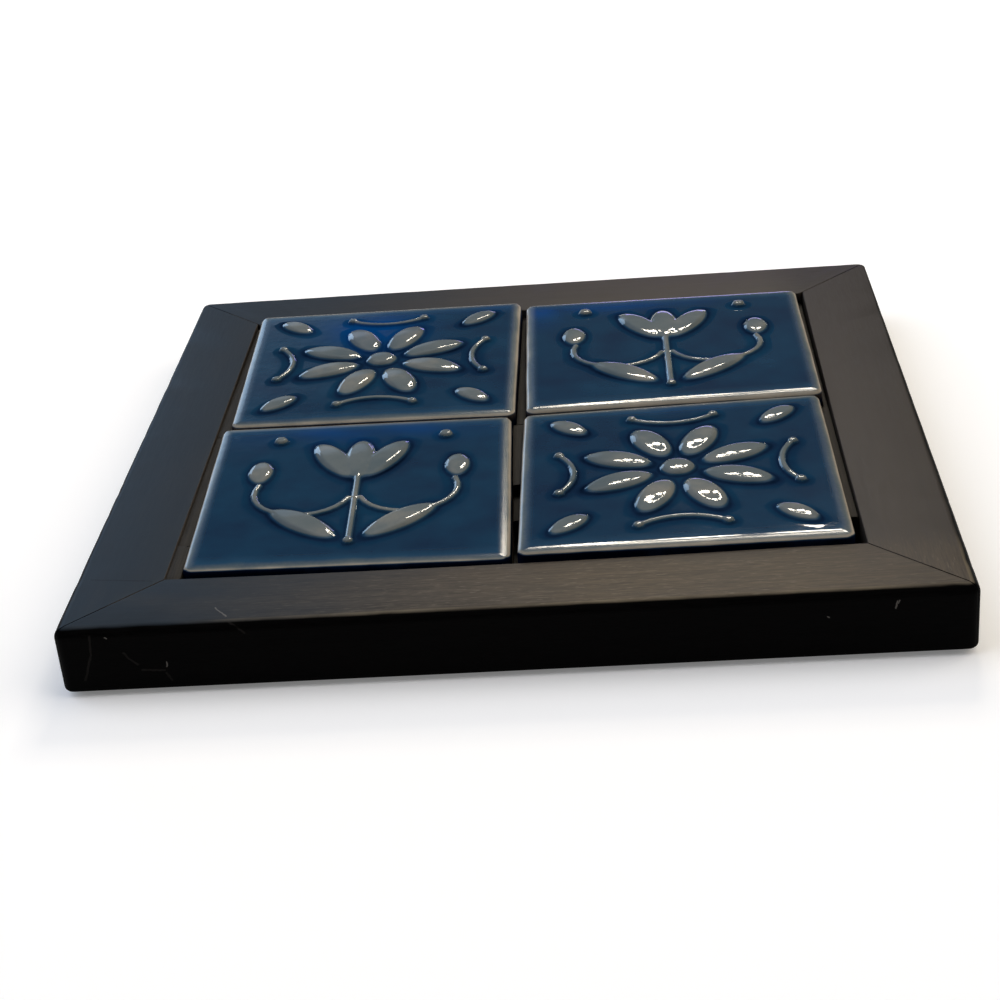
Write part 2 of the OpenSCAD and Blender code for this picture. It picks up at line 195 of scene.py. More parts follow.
def ebonised_beech(add):
    """Beech stained black and oiled, with short fine pores; its tops are painted grey-brown as painted sheen, and a
    painted highlight runs along the front edge.
    """
    grain = add(ATTRIBUTE, attribute_name="grain").outputs["Vector"]
    # Beech has finer pores: these are drawn just coarse enough to show
    fibres = add(NOISE, add(MAPPING, grain, Scale=cell(5, 0.4, 0.4)), Detail=3.0, Roughness=0.6)
    bands = add(NOISE, add(MAPPING, grain, Scale=cell(70, 1.6, 4)), Detail=2.0)
    patches = add(NOISE, add(MAPPING, grain, Scale=cell(34, 11, 11)), Detail=3.0)
    streaks = add(RANGE, add(MIX, 0.22, fibres, bands), 0.34, 0.66)
    upward = add(SPLIT, add("ShaderNodeNewGeometry").outputs["Normal"]).outputs["Z"]
    top = add(SMOOTH_RANGE, upward, 0.82, 0.985)
    # Painted light: the tops are painted slate blue-black on the left, where cool light falls, and warm brown
    # towards the right and the front, where warm light and sheen fall. The right rail is darker towards its back.
    spot = add(PLACE).outputs["Object"]
    place = add(SPLIT, spot).outputs
    painted_warm_light = add(SMOOTH_RANGE, place["X"], -92 * MM, 30 * MM)
    painted_warm_light = add(PLUS, painted_warm_light, add(RANGE, patches, 0.3, 0.7, -0.1, 0.1), use_clamp=True)
    ends = add(SMOOTH_RANGE, place["X"], 55 * MM, 95 * MM, 1.0, 0.55)
    front = add(TIMES, add(SMOOTH_RANGE, place["Y"], -70 * MM, -86 * MM), ends)
    far = add(TIMES, add(RANGE, place["Y"], -100 * MM, 80 * MM), add(RANGE, place["X"], 70 * MM, 82 * MM))
    slate, brown, far_brown, front_sheen_brown = (add(MIX_COLOURS, streaks, dark, light) for dark, light in (
        ("#232a31", "#293037"), ("#373330", "#413c36"), ("#292624", "#302d2a"), ("#3f382f", "#5f5547")))
    brown = add(MIX_COLOURS, front, add(MIX_COLOURS, far, brown, far_brown), front_sheen_brown)
    colour = add(MIX_COLOURS, painted_warm_light, slate, brown)
    # Where the warm light and sheen are painted most, on the front rail, single pores show as pale flecks
    flecks = add(NOISE, add(MAPPING, grain, Scale=cell(2.6, 0.42, 0.42)), Detail=1.0)
    flecks = add(TIMES, add(TIMES, add(RANGE, flecks, 0.6, 0.78, 0.0, 0.4), front), painted_warm_light)
    colour = add(MIX_COLOURS, flecks, colour, "#8a8070")
    # Painted sheen: the tops are painted grey-brown and the outer sides near black, and the inner walls are painted
    # lighter, as painted light in the shaded gaps
    inner = add(RANGE, add(SPLIT, grain).outputs["Y"], 8 * MM, 12 * MM)
    outer_black = add(MIX_COLOURS, streaks, "#030303", "#080707")
    inner_black = add(MIX_COLOURS, streaks, "#3a3632", "#45403b")
    colour = add(MIX_COLOURS, top, add(MIX_COLOURS, inner, outer_black, inner_black), colour)
    # A painted highlight: a thin pale line along the rounded top outer edge, strongest on the front rail towards the
    # right
    edge_highlight = add(SMOOTH_RANGE, add(ATTRIBUTE, attribute_name="edge").outputs["Fac"], 0.04, 0.16)
    for mask in (add(RANGE, patches, 0.38, 0.6, 0.15, 0.7), painted_warm_light, front, top):
        edge_highlight = add(TIMES, edge_highlight, mask)
    colour = add(MIX_COLOURS, edge_highlight, colour, "#94886f")
    # Years of handling: scratches and smears, none of them quite straight
    wobble = add(NOISE, spot, Scale=cell(1.2), Detail=1.0).outputs["Color"]
    wobble = add(V_SCALE, add(V_MINUS, wobble, (0.5, 0.5, 0.5)), Scale=0.5 * MM)
    shaky = add(V_PLUS, spot, wobble)
    for marks, width, strength, paint in (
            (PALE_SCRATCHES, 0.36, 0.34, "#8f8a84"), (FAINT_SMEARS, 0.55, 0.12, "#4c4845"),
            (DARK_SCRATCHES, 0.5, 0.5, "#15181b")):
        mask = add(TIMES, scratch(add, shaky, marks, width), strength)
        colour = add(MIX_COLOURS, mask, colour, paint)
    dull = add(RANGE, fibres, 0.3, 0.7, 0.42, 0.56)
    sheen = add(RANGE, top, 0.0, 1.0, 0.02, 0.08)
    bump = add(BUMP, Height=streaks, Strength=0.35, Distance=0.02 * MM)
    return dict(Base_Color=colour, Roughness=dull, Specular_IOR_Level=sheen, Normal=bump)


def stained_offcut(add):
    """Sawn softwood stained black, thinner on the right: open, matt, with the saw's cross marks."""
    grain = add(ATTRIBUTE, attribute_name="grain").outputs["Vector"]
    fibres = add(NOISE, add(MAPPING, grain, Scale=cell(11, 0.5, 0.5)), Detail=3.0, Roughness=0.6)
    saw_marks = add(NOISE, add(MAPPING, grain, Scale=cell(0.7, 16, 16)), Detail=1.0)
    streaks = add(RANGE, fibres, 0.3, 0.7)
    black = add(MIX_COLOURS, streaks, "#1e1c18", "#302c26")
    olive = add(MIX_COLOURS, streaks, "#211e18", "#302c25")
    place = add(SPLIT, add(PLACE).outputs["Object"]).outputs["X"]
    colour = add(MIX_COLOURS, add(RANGE, place, 10 * MM, 70 * MM), black, olive)
    bump = add(BUMP, Height=add(MIX, 0.4, fibres, saw_marks), Strength=0.6, Distance=0.1 * MM)
    return dict(Base_Color=colour, Roughness=0.7, Specular_IOR_Level=0.2, Normal=bump)


def stained_hardboard(add):
    """Hardboard brushed with black stain: felted short fibres and a dull, uneven coat."""
    place = add(PLACE).outputs["Object"]
    felt = add(NOISE, place, Scale=cell(1.1), Detail=5.0, Roughness=0.7)
    brush = add(NOISE, add(MAPPING, place, Scale=cell(70, 2.4, 2.4)), Detail=3.0)
    colour = add(MIX_COLOURS, add(RANGE, felt, 0.3, 0.75), "#171310", "#352b21")
    colour = add(MIX_COLOURS, add(RANGE, brush, 0.35, 0.7, 0.0, 0.6), colour, "#100e0c")
    dull = add(RANGE, brush, 0.3, 0.7, 0.55, 0.8)
    bump = add(BUMP, Height=felt, Strength=0.4, Distance=0.1 * MM)
    return dict(Base_Color=colour, Roughness=dull, Specular_IOR_Level=0.25, Normal=bump)


def cobalt_glaze(add):
    """Earthenware under a clear blue glaze: deep where it pools, grey and thin on the relief and the rims, with the
    sides below the rims painted near black as shade and spots of purer blue that are partly a painted sky
    reflection.
    """
    depth, clay, tint = (
        add(ATTRIBUTE, attribute_name=name).outputs["Fac"] for name in ("glaze", "clay", "tint"))
    place = add(PLACE).outputs["Object"]
    mottle = add(NOISE, place, Scale=cell(7), Detail=4.0, Roughness=0.55)
    grit = add(NOISE, place, Scale=cell(0.8), Detail=2.0)
    clouds = add(NOISE, add(MAPPING, place, Scale=cell(24, 16, 24)), Detail=2.0)
    uneven = add(RANGE, add(MIX, 0.6, mottle, clouds), 0.3, 0.7, -0.2, 0.26)
    uneven = add(TIMES_PLUS, uneven, add(PLUS, depth, 0.2), depth)
    # From the thinnest glaze to the deepest pool, whose colour also paints the shade on the tiles' sides
    shades = add("ShaderNodeValToRGB", add(TIMES, uneven, 0.5))
    stops = shades.color_ramp.elements
    for share, colour in ((0.0, "#b0a899"), (0.05, "#8d897d"), (0.1, "#69706f"), (0.2, "#40545c"),
                          (0.32, "#1d4059"), (0.48, "#15364e"), (0.7, "#13273f"), (0.98, "#020a1c")):
        stops.new(share).color = linear(colour)
    stops.remove(stops[-1])
    stops.remove(stops[0])
    # Cobalt is a purer blue in places, partly where the glaze is thick and partly as a painted reflection of the sky
    colour = add(MIX_COLOURS, add(RANGE, tint, 0.0, 1.0, 0.0, 0.85), shades, "#003c76")
    body = add(MIX_COLOURS, add(RANGE, grit, 0.35, 0.75), "#7d6d5a", "#a08e76")
    colour = add(MIX_COLOURS, clay, colour, body)
    # Bare clay is dull, and the glaze loses its shine where it gathers at the foot of the relief and on the sides
    # painted as shade below the rim
    dull = add(RANGE, clay, 0.0, 0.9, 0.05, 0.85)
    shine = add(RANGE, depth, 1.01, 1.06, 0.5, 0.0)
    ripple = add(NOISE, place, Scale=cell(2.6), Detail=2.0)
    bump = add(BUMP, Height=ripple, Strength=0.35, Distance=0.06 * MM)
    return dict(Base_Color=colour, Roughness=dull, Specular_IOR_Level=shine, IOR=1.52, Normal=bump)


def tile_adhesive(add):
    """Cement tile adhesive: grey, sandy and dull."""
    place = add(PLACE).outputs["Object"]
    sand = add(NOISE, place, Scale=cell(0.7), Detail=4.0, Roughness=0.7)
    colour = add(MIX_COLOURS, add(RANGE, sand, 0.3, 0.7), "#5d5a55", "#85817a")
    bump = add(BUMP, Height=sand, Strength=0.8, Distance=0.2 * MM)
    return dict(Base_Color=colour, Roughness=0.95, Normal=bump)


def zinc_plated_steel(add):
    """Zinc-plated steel: a soft grey metal with a faint cloudy plating."""
    place = add(PLACE).outputs["Object"]
    cloud = add(NOISE, place, Scale=cell(1.4), Detail=3.0)
    colour = add(MIX_COLOURS, add(RANGE, cloud, 0.3, 0.7), "#9d9d99", "#c6c5bd")
    dull = add(RANGE, cloud, 0.3, 0.7, 0.28, 0.5)
    return dict(Base_Color=colour, Roughness=dull, Metallic=1.0)


def black_rubber(add):
    """Moulded rubber: near black, dull, with a fine bloom."""
    place = add(PLACE).outputs["Object"]
    bloom = add(NOISE, place, Scale=cell(2), Detail=4.0, Roughness=0.6)
    colour = add(MIX_COLOURS, add(RANGE, bloom, 0.35, 0.8), "#161616", "#2c2b2a")
    dull = add(RANGE, bloom, 0.3, 0.7, 0.62, 0.8)
    bump = add(BUMP, Height=bloom, Strength=0.3, Distance=0.05 * MM)
    return dict(Base_Color=colour, Roughness=dull, Normal=bump)


WOOD, STRIP, BOARD, GLAZE, ADHESIVE, STEEL, RUBBER = (make_material(finish) for finish in (
    ebonised_beech, stained_offcut, stained_hardboard, cobalt_glaze, tile_adhesive, zinc_plated_steel, black_rubber))


def finish_mesh(mesh, sharp_angle=35):
    """Turns the mesh's faces outwards and smooths all but its sharp edges."""
    shape = bmesh.new()
    shape.from_mesh(mesh)
    bmesh.ops.recalc_face_normals(shape, faces=shape.faces)
    shape.to_mesh(mesh)
    shape.free()
    mesh.shade_smooth()
    mesh.set_sharp_from_angle(angle=radians(sharp_angle))


def new_mesh(name, verts, faces, sharp_angle=35):
    """A finished mesh of these points and faces."""
    mesh = bpy.data.meshes.new(name)
    mesh.from_pydata(verts, [], faces)
    finish_mesh(mesh, sharp_angle)
    return mesh


def seat(name, mesh, material, node):
    """Makes the piece that stands for a CAD node."""
    piece = bpy.data.objects.new(name, mesh)
    scene.collection.objects.link(piece)
    if not mesh.materials:
        mesh.materials.append(material)
    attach(piece, "root")
    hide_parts(node)


def new_tree(name, sizes):
    """A geometry tree with a number input for each size and a material input: also what adds its nodes."""
    tree = bpy.data.node_groups.new(name, "GeometryNodeTree")
    for label in sizes:
        tree.interface.new_socket(name=label, in_out="INPUT", socket_type="NodeSocketFloat")
    tree.interface.new_socket(name="Material", in_out="INPUT", socket_type="NodeSocketMaterial")
    tree.interface.new_socket(name="Geometry", in_out="OUTPUT", socket_type="NodeSocketGeometry")
    add = functools.partial(add_node, tree)
    return tree, add, add("NodeGroupInput").outputs


def close_tree(add, geometry, given):
    """Ends a geometry tree with real meshes and their material."""
    real = add("GeometryNodeRealizeInstances", geometry)
    add("NodeGroupOutput", add("GeometryNodeSetMaterial", real, Material=given["Material"]))


def bake_tree(tree, sizes, material, name):
    """Runs a geometry tree with these sizes and this material, and returns the finished mesh."""
    holder = bpy.data.objects.new(name + "_holder", bpy.data.meshes.new(name + "_empty"))
    scene.collection.objects.link(holder)
    modifier = holder.modifiers.new("shape", "NODES")
    modifier.node_group = tree
    for item in tree.interface.items_tree:
        if item.in_out == "INPUT":
            modifier[item.identifier] = sizes.get(item.name, material)
    bpy.context.view_layer.update()
    made = holder.evaluated_get(bpy.context.evaluated_depsgraph_get())
    mesh = bpy.data.meshes.new_from_object(made)
    mesh.name = name
    bpy.data.objects.remove(holder)
    finish_mesh(mesh)
    return mesh


def rail_tree(sizes):
    """A mitred rail: its section runs along X, and each point of it stops at the mitre."""
    tree, add, given = new_tree("mitred_rail", sizes)

    # The section: a rectangle with a rebate for the board, its edges rounded
    lip = add(MINUS, given["Width"], given["Rebate Width"])
    arris_r = given["Arris Radius"]
    corners = (
        (0.0, 0.0, given["Edge Radius"]), (0.0, given["Height"], given["Top Edge Radius"]),
        (given["Width"], given["Height"], arris_r), (given["Width"], given["Rebate Height"], arris_r),
        (lip, given["Rebate Height"], arris_r), (lip, 0.0, arris_r))
    index = add("GeometryNodeInputIndex")
    places = add("GeometryNodeIndexSwitch", data_type="VECTOR")
    rounds = add("GeometryNodeIndexSwitch", data_type="FLOAT")
    for switch in (places, rounds):
        while len(switch.index_switch_items) < len(corners):
            switch.index_switch_items.new()
        tree.links.new(index.outputs["Index"], switch.inputs["Index"])
    for i, (across, up, radius) in enumerate(corners):
        tree.links.new(add(JOIN, across, up).outputs["Vector"], places.inputs[str(i)])
        tree.links.new(radius, rounds.inputs[str(i)])
    loop = add("GeometryNodeMeshCircle", Vertices=len(corners))
    loop = add("GeometryNodeSetPosition", loop, Position=places)
    loop = add("GeometryNodeMeshToCurve", add(STORE, loop, Name="round", Value=rounds))
    loop = add("GeometryNodeFilletCurve", loop, Radius=add(READ, "round"), Count=ARRIS_STEPS, mode="POLY")
    position = add("GeometryNodeInputPosition")
    section = add(STORE_VECTOR, loop, Name="section", Value=position)

    # The length, from one end at -1 to the other at 1
    line = add("GeometryNodeCurvePrimitiveLine", Start=(-1, 0, 0), End=(1, 0, 0))
    line = add("GeometryNodeResampleCurve", line, Count=RAIL_STEPS)
    line = add(STORE_VECTOR, line, Name="along", Value=position)
    body = add("GeometryNodeCurveToMesh", line, Profile_Curve=section, Fill_Caps=True)
    along = add(SPLIT, add(READ_VECTOR, "along")).outputs["X"]
    spot = add(SPLIT, add(READ_VECTOR, "section")).outputs

    # Steps along the rail close up towards its ends, and a slightly bowed cut planes its inner edge
    share = add(TIMES, along, add(RANGE, add(TIMES, along, along), 0.0, 1.0, 1.5, 1.0))
    bow = add(TIMES_PLUS, share, given["Planed Bow"], given["Planed Slope"])
    planed = add(LARGER, add(TIMES_PLUS, share, bow, given["Planed Off"]), 0.0)
    innermost = add(ABOVE, spot["X"], add(TIMES, given["Width"], 0.85))
    planed = add(TIMES, planed, innermost)

    # The top outer edge is less round towards one end: its points draw out to the sharp corner there
    rounding = add(RANGE, share, -1.0, 1.0, given["Start Rounding"], given["End Rounding"])
    drawn_out = add(MINUS, 1.0, rounding)
    below = add(MINUS, given["Height"], spot["Y"])
    near_side, near_top = (
        add(ABOVE, add(MINUS, given["Top Edge Radius"], away), -1e-6) for away in (spot["X"], below))
    in_edge = add(TIMES, near_side, near_top)
    up = add(TIMES_PLUS, add(TIMES, below, drawn_out), in_edge, spot["Y"])
    out = add(TIMES_PLUS, add(TIMES, spot["X"], drawn_out), in_edge, planed)
    across = add(MINUS, spot["X"], out)

    # Each point of the section runs straight, then round the corner as far as the mitre
    hand = add(SIGN, share)
    share = add(SIZE, share)
    reach = add(MINUS, given["Half Length"], given["Seam"])
    inset = add(LARGER, given["Corner Radius"], across)
    straight = add(MINUS, reach, inset)
    bend = add(MINUS, inset, across)
    whole = add(TIMES_PLUS, bend, pi / 4, straight)
    travel = add(TIMES, share, whole)
    run = add(SMALLER, travel, straight)
    angle = add(OVER, add(MINUS, travel, run), add(LARGER, bend, 1e-7))
    x = add(TIMES_PLUS, bend, add(SINE, angle), run)
    x = add(TIMES, x, hand)
    sag = add(TIMES, bend, add(MINUS, 1.0, add(COSINE, angle)))

    # The last tenths of a millimetre draw in, so that each mitre shows as a fine line
    to_end = add(MINUS, whole, travel)
    drawn_in = add(LARGER, add(MINUS, given["Mitre Ease"], to_end), 0.0)
    side, face = (add(SIGN, add(MINUS, spot[axis], add(TIMES, given[size], 0.5)))
                  for axis, size in (("X", "Width"), ("Y", "Height")))
    pinch = add(V_TIMES, add(JOIN, side, face), drawn_in)

    # Knocks eat into the top outer edge
    from_edge = add(V_LENGTH, add(JOIN, spot["X"], below))
    near_edge = add(RANGE, from_edge, 0.0, given["Edge Reach"], 1.0, 0.0)
    knocks = add(NOISE, add(JOIN, x, spot["X"], given["Seed"]), Scale=90.0, Detail=3.0)
    eaten = add(TIMES, add(RANGE, knocks, 0.5, 1.0, 0.0, given["Wear"]), near_edge)
    chip = add(JOIN, eaten, add(TIMES, eaten, -1.0))

    placed = add(V_PLUS, add(V_MINUS, add(JOIN, across, up), pinch), chip)
    placed = add(SPLIT, placed).outputs
    y = add(PLUS, add(MINUS, placed["X"], given["Half Depth"]), sag)
    z = add(PLUS, placed["Y"], given["Underside"])
    body = add("GeometryNodeSetPosition", body, Position=add(JOIN, x, y, z))

    # What the finish needs: where the grain runs and where the edge's painted highlight goes
    grain = add(JOIN, add(PLUS, x, given["Seed"]), spot["X"], spot["Y"])
    body = add(STORE_VECTOR, body, Name="grain", Value=grain)
    body = add(STORE, body, Name="edge", Value=near_edge)
    body = add("GeometryNodeTransform", body, Rotation=add(JOIN, Z=given["Turn"]))
    close_tree(add, body, given)
    return tree


def planed_off(side, share):
    """What is planed off a rail's inner edge at a share of its half length, from -1 to 1."""
    middle, slope, bow = PLANED[side]
    return max(0.0, (bow * share + slope) * share + middle) * MM


def make_rails():
    """The four mitred rails."""
    tree = None
    sides = (("front", HALF_W, HALF_D, 0.0), ("right", HALF_D, HALF_W, pi / 2),
             ("back", HALF_W, HALF_D, pi), ("left", HALF_D, HALF_W, -pi / 2))
    for seed, (side, half_length, half_depth, turn) in enumerate(sides):
        rounding, planed = ROUNDING[side], [step * MM for step in PLANED[side]]
        sizes = {
            "Half Length": half_length, "Half Depth": half_depth, "Width": RAIL_W, "Height": RAIL_H,
            "Underside": UNDERSIDE, "Edge Radius": EDGE_R, "Top Edge Radius": TOP_EDGE_R, "Arris Radius": ARRIS_R,
            "Corner Radius": CORNER_R, "Rebate Width": REBATE_W, "Rebate Height": REBATE_H, "Planed Off": planed[0],
            "Planed Slope": planed[1], "Planed Bow": planed[2], "Start Rounding": rounding[0],
            "End Rounding": rounding[1], "Turn": turn, "Seam": 0.03 * MM,
            "Mitre Ease": (0.22 if side == "front" else 0.12) * MM, "Wear": 0.6 * MM, "Edge Reach": 2.4 * MM,
            "Seed": 0.4 * seed}
        tree = tree or rail_tree(sizes)
        name = side + "_rail_wood"
        seat(name, bake_tree(tree, sizes, WOOD, name), WOOD, side + "_rail")


def cap_radius(width, height):
    """Radius of a ball or tube that rises by height over a face and is width wide there."""
    return (width * width / 4 + height * height) / (2 * height)


def rise(radius, sunk, away):
    """Height over the face of a ball or tube whose middle is sunk below it, going on below 0 beside it."""
    return sqrt(radius * radius - away * away) - sunk if away < radius else -sunk - (away - radius)


def pressed(height, full, away2, dome_r):
    """Steepens a swelling's sides and gives it a broad, gently domed top, as a plaster mould leaves it."""
    if height <= 0:
        return height
    side = STEEPER * height / full
    top = 1 - away2 / (2 * dome_r * full)
    return full * 0.5 * (side + top - sqrt((side - top) ** 2 + SHOULDER))


class Petal:
    """A pointed oval that swells over the face, as wide as width at its middle."""

    def __init__(self, x, y, turn, length, width, height):
        self.x, self.y = x, y
        self.cos, self.sin = cos(turn), sin(turn)
        self.round_r = cap_radius(width, height)
        self.arch_r = cap_radius(length, height)
        self.full, self.sunk = height, self.round_r - height
        self.dome_r = max(DOME_R, length * length / (5.2 * height))
        self.bound = length * 0.5 + 2 * MM

    def height(self, x, y):
        """Height over the face at a point, below 0 beside the petal, or None far from it."""
        dx, dy = x - self.x, y - self.y
        if dx * dx + dy * dy > self.bound * self.bound:
            return None
        along = dx * self.cos + dy * self.sin
        across = abs(dy * self.cos - dx * self.sin)
        radius = sqrt(self.arch_r ** 2 - along * along) - (self.arch_r - self.round_r)
        return pressed(rise(radius, self.sunk, across), self.full, dx * dx + dy * dy, self.dome_r)


class Boss:
    """A round boss."""

    def __init__(self, x, y, width, height):
        self.x, self.y = x, y
        self.radius = cap_radius(width, height)
        self.full, self.sunk = height, self.radius - height
        self.bound = width * 0.5 + 2 * MM

    def height(self, x, y):
        """Height over the face at a point, as for a petal."""
        away2 = (x - self.x) ** 2 + (y - self.y) ** 2
        if away2 > self.bound * self.bound:
            return None
        return pressed(rise(self.radius, self.sunk, sqrt(away2)), self.full, away2, DOME_R)


class Stem:
    """A thin stem along points."""

    def __init__(self, points, width, height):
        self.points = points
        self.radius = cap_radius(width, height)
        self.sunk = self.radius - height
        reach = width * 0.5 + 2 * MM
        self.low = [min(point[axis] for point in points) - reach for axis in (0, 1)]
        self.high = [max(point[axis] for point in points) + reach for axis in (0, 1)]

    def height(self, x, y):
        """Height over the face at a point, as for a petal."""
        if not (self.low[0] < x < self.high[0] and self.low[1] < y < self.high[1]):
            return None
        away2 = 1.0
        for (ax, ay), (bx, by) in zip(self.points, self.points[1:]):
            dx, dy = bx - ax, by - ay
            t = max(0.0, min(1.0, ((x - ax) * dx + (y - ay) * dy) / (dx * dx + dy * dy)))
            away2 = min(away2, (x - ax - t * dx) ** 2 + (y - ay - t * dy) ** 2)
        return rise(self.radius, self.sunk, sqrt(away2))


def arc(x, y, radius, start, end, steps=14):
    """Points along an arc, with angles in degrees."""
    turns = [radians(start + (end - start) * i / steps) for i in range(steps + 1)]
    return [(x + radius * cos(a), y + radius * sin(a)) for a in turns]


def rosette():
    """Eight petals round a boss, a bud in each corner and a swag along each side, sized by the tile's side."""
    s = TILE_S
    petal_out, bud_out, swag_out, swag_r, swag_half_turn = 0.203 * s, 0.345 * s, 0.55 * s, 0.22 * s, 38
    shapes = [Boss(0, 0, width=0.12 * s, height=PETAL_H)]
    for i in range(8):
        a = radians(45 * (i + 0.5))
        shapes.append(Petal(petal_out * cos(a), petal_out * sin(a), a, length=0.245 * s, width=0.115 * s,
                            height=PETAL_H))
    for i in range(4):
        a = radians(90 * i)
        c, n = cos(a), sin(a)
        shapes.append(Petal(bud_out * (c - n), bud_out * (n + c), a + pi / 4, length=0.17 * s, width=0.085 * s,
                            height=BUD_H))
        middle = 90 + 90 * i
        points = arc(swag_out * n, -swag_out * c, swag_r, middle - swag_half_turn, middle + swag_half_turn)
        shapes.append(Stem(points, STEM_W, STEM_H))
        shapes += [Boss(x, y, BEAD_W, BEAD_H) for x, y in (points[0], points[-1])]
    return shapes


def tulip():
    """A three-petalled tulip on its stem, with leaves, curled side stems, buds and two dots."""
    s = TILE_S
    foot_y, head_y = -0.36 * s, 0.2 * s
    petal = {"length": 0.3 * s, "width": 0.11 * s, "height": PETAL_H}
    shapes = [Stem([(0, foot_y), (0, 0.1 * s)], STEM_W, STEM_H), Boss(0, foot_y, BEAD_W, BEAD_H),
              Petal(0, head_y, pi / 2, **petal)]
    for side in (1, -1):
        petal_turn, leaf_turn = (a if side > 0 else pi - a for a in (radians(64), radians(42)))
        shapes.append(Petal(side * 0.085 * s, head_y, petal_turn, **petal))
        shapes.append(Petal(side * 0.155 * s, -0.235 * s, leaf_turn, length=0.31 * s, width=0.11 * s,
                            height=PETAL_H))
        curl = arc(0.17 * s, -0.02 * s, 0.16 * s, -160, 20)
        shapes.append(Stem([(side * x, y) for x, y in curl], STEM_W, STEM_H))
        shapes.append(Petal(side * 0.325 * s, 0.13 * s, pi / 2, length=0.17 * s, width=0.09 * s, height=BUD_H))
        shapes.append(Boss(side * 0.28 * s, 0.36 * s, width=0.05 * s, height=BUD_H))
    return shapes


def relief_at(shapes, x, y):
    """Height of the glazed relief at a point, and how deep the glaze pools at its foot."""
    height = -4 * MM
    for shape in shapes:
        h = shape.height(x, y)
        if h is not None:
            height = 0.5 * (height + h + sqrt((height - h) ** 2 + MELT ** 2))
    smooth = 0.5 * (height + sqrt(height * height + GLAZE_FILLET ** 2))
    pool = (smooth - max(height, 0.0)) / (0.5 * GLAZE_FILLET)
    return smooth - GLAZE_FILLET ** 2 / (16 * MM), pool


def ring_point(p, q, half, corner_r):
    """Maps a point of the unit square's ring to a rounded square of this half side."""
    m = max(abs(p), abs(q))
    if m == 0:
        return 0.0, 0.0
    swap = abs(q) > abs(p)
    main, other = (q, p) if swap else (p, q)
    t = other / m
    side = copysign(1, main)
    if abs(t) * half <= half - corner_r or corner_r <= 0:
        a, b = side * half, t * half
    else:
        angle = (abs(t) * half - (half - corner_r)) / corner_r * pi / 4
        a = side * (half - corner_r + corner_r * cos(angle))
        b = copysign(half - corner_r + corner_r * sin(angle), t)
    return (b, a) if swap else (a, b)


def smoothstep(low, high, value):
    """Smooth step from 0 at low to 1 at high."""
    t = max(0.0, min(1.0, (value - low) / (high - low)))
    return t * t * (3 - 2 * t)


def noise_start(seed, axes):
    """Where a piece's own noise starts: a random place on these axes."""
    rng = random.Random(seed)
    return Vector([rng.uniform(0, 50) if axis in axes else 0 for axis in "xyz"])


class Tile:
    """Where a tile lies and how far it is out of true: its corners are pulled aside and lifted, in millimetres.

    Its blues are spots of purer cobalt, partly glaze that ran and partly a painted reflection of the sky, each a
    centre and two half sizes as shares of the tile.
    Its hem is how far round the front edge the glaze is thin, in radians, before the edge is painted dark as shade,
    and its body how much clay shows below.
    """

    def __init__(self, place, shapes, turn, pulls, lifts, blues, hem, body=0.0):
        self.node, self.name, self.shapes = "tile_" + place, "glazed_tile_" + place, shapes
        self.blues, self.hem, self.body = blues, hem, body
        low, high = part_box(self.node)
        self.centre = (low + high) / 2
        self.base, self.face = low.z, high.z - PETAL_H
        self.cos, self.sin = cos(radians(turn)), sin(radians(turn))
        self.pulls, self.lifts = pulls, lifts

    def placed(self, x, y, z):
        """The place in the trivet of a point of the tile."""
        u, v = x / TILE_S + 0.5, y / TILE_S + 0.5
        weights = ((1 - u) * v, u * v, u * (1 - v), (1 - u) * (1 - v))
        pull_x, pull_y, lift = (
            sum(w * step for w, step in zip(weights, steps)) * MM for steps in (*zip(*self.pulls), self.lifts))
        x, y = x + pull_x, y + pull_y
        z += lift * min(1.0, (z - self.base) / (self.face - self.base))
        return self.centre.x + x * self.cos - y * self.sin, self.centre.y + x * self.sin + y * self.cos, z

    def side_at(self, side, y):
        """Where the left (-1) or right (1) side is at this Y."""
        half = TILE_S / 2
        front, back = (self.placed(side * half, end * half, self.face) for end in (-1, 1))
        return front[0] + (back[0] - front[0]) * (y - front[1]) / (back[1] - front[1])


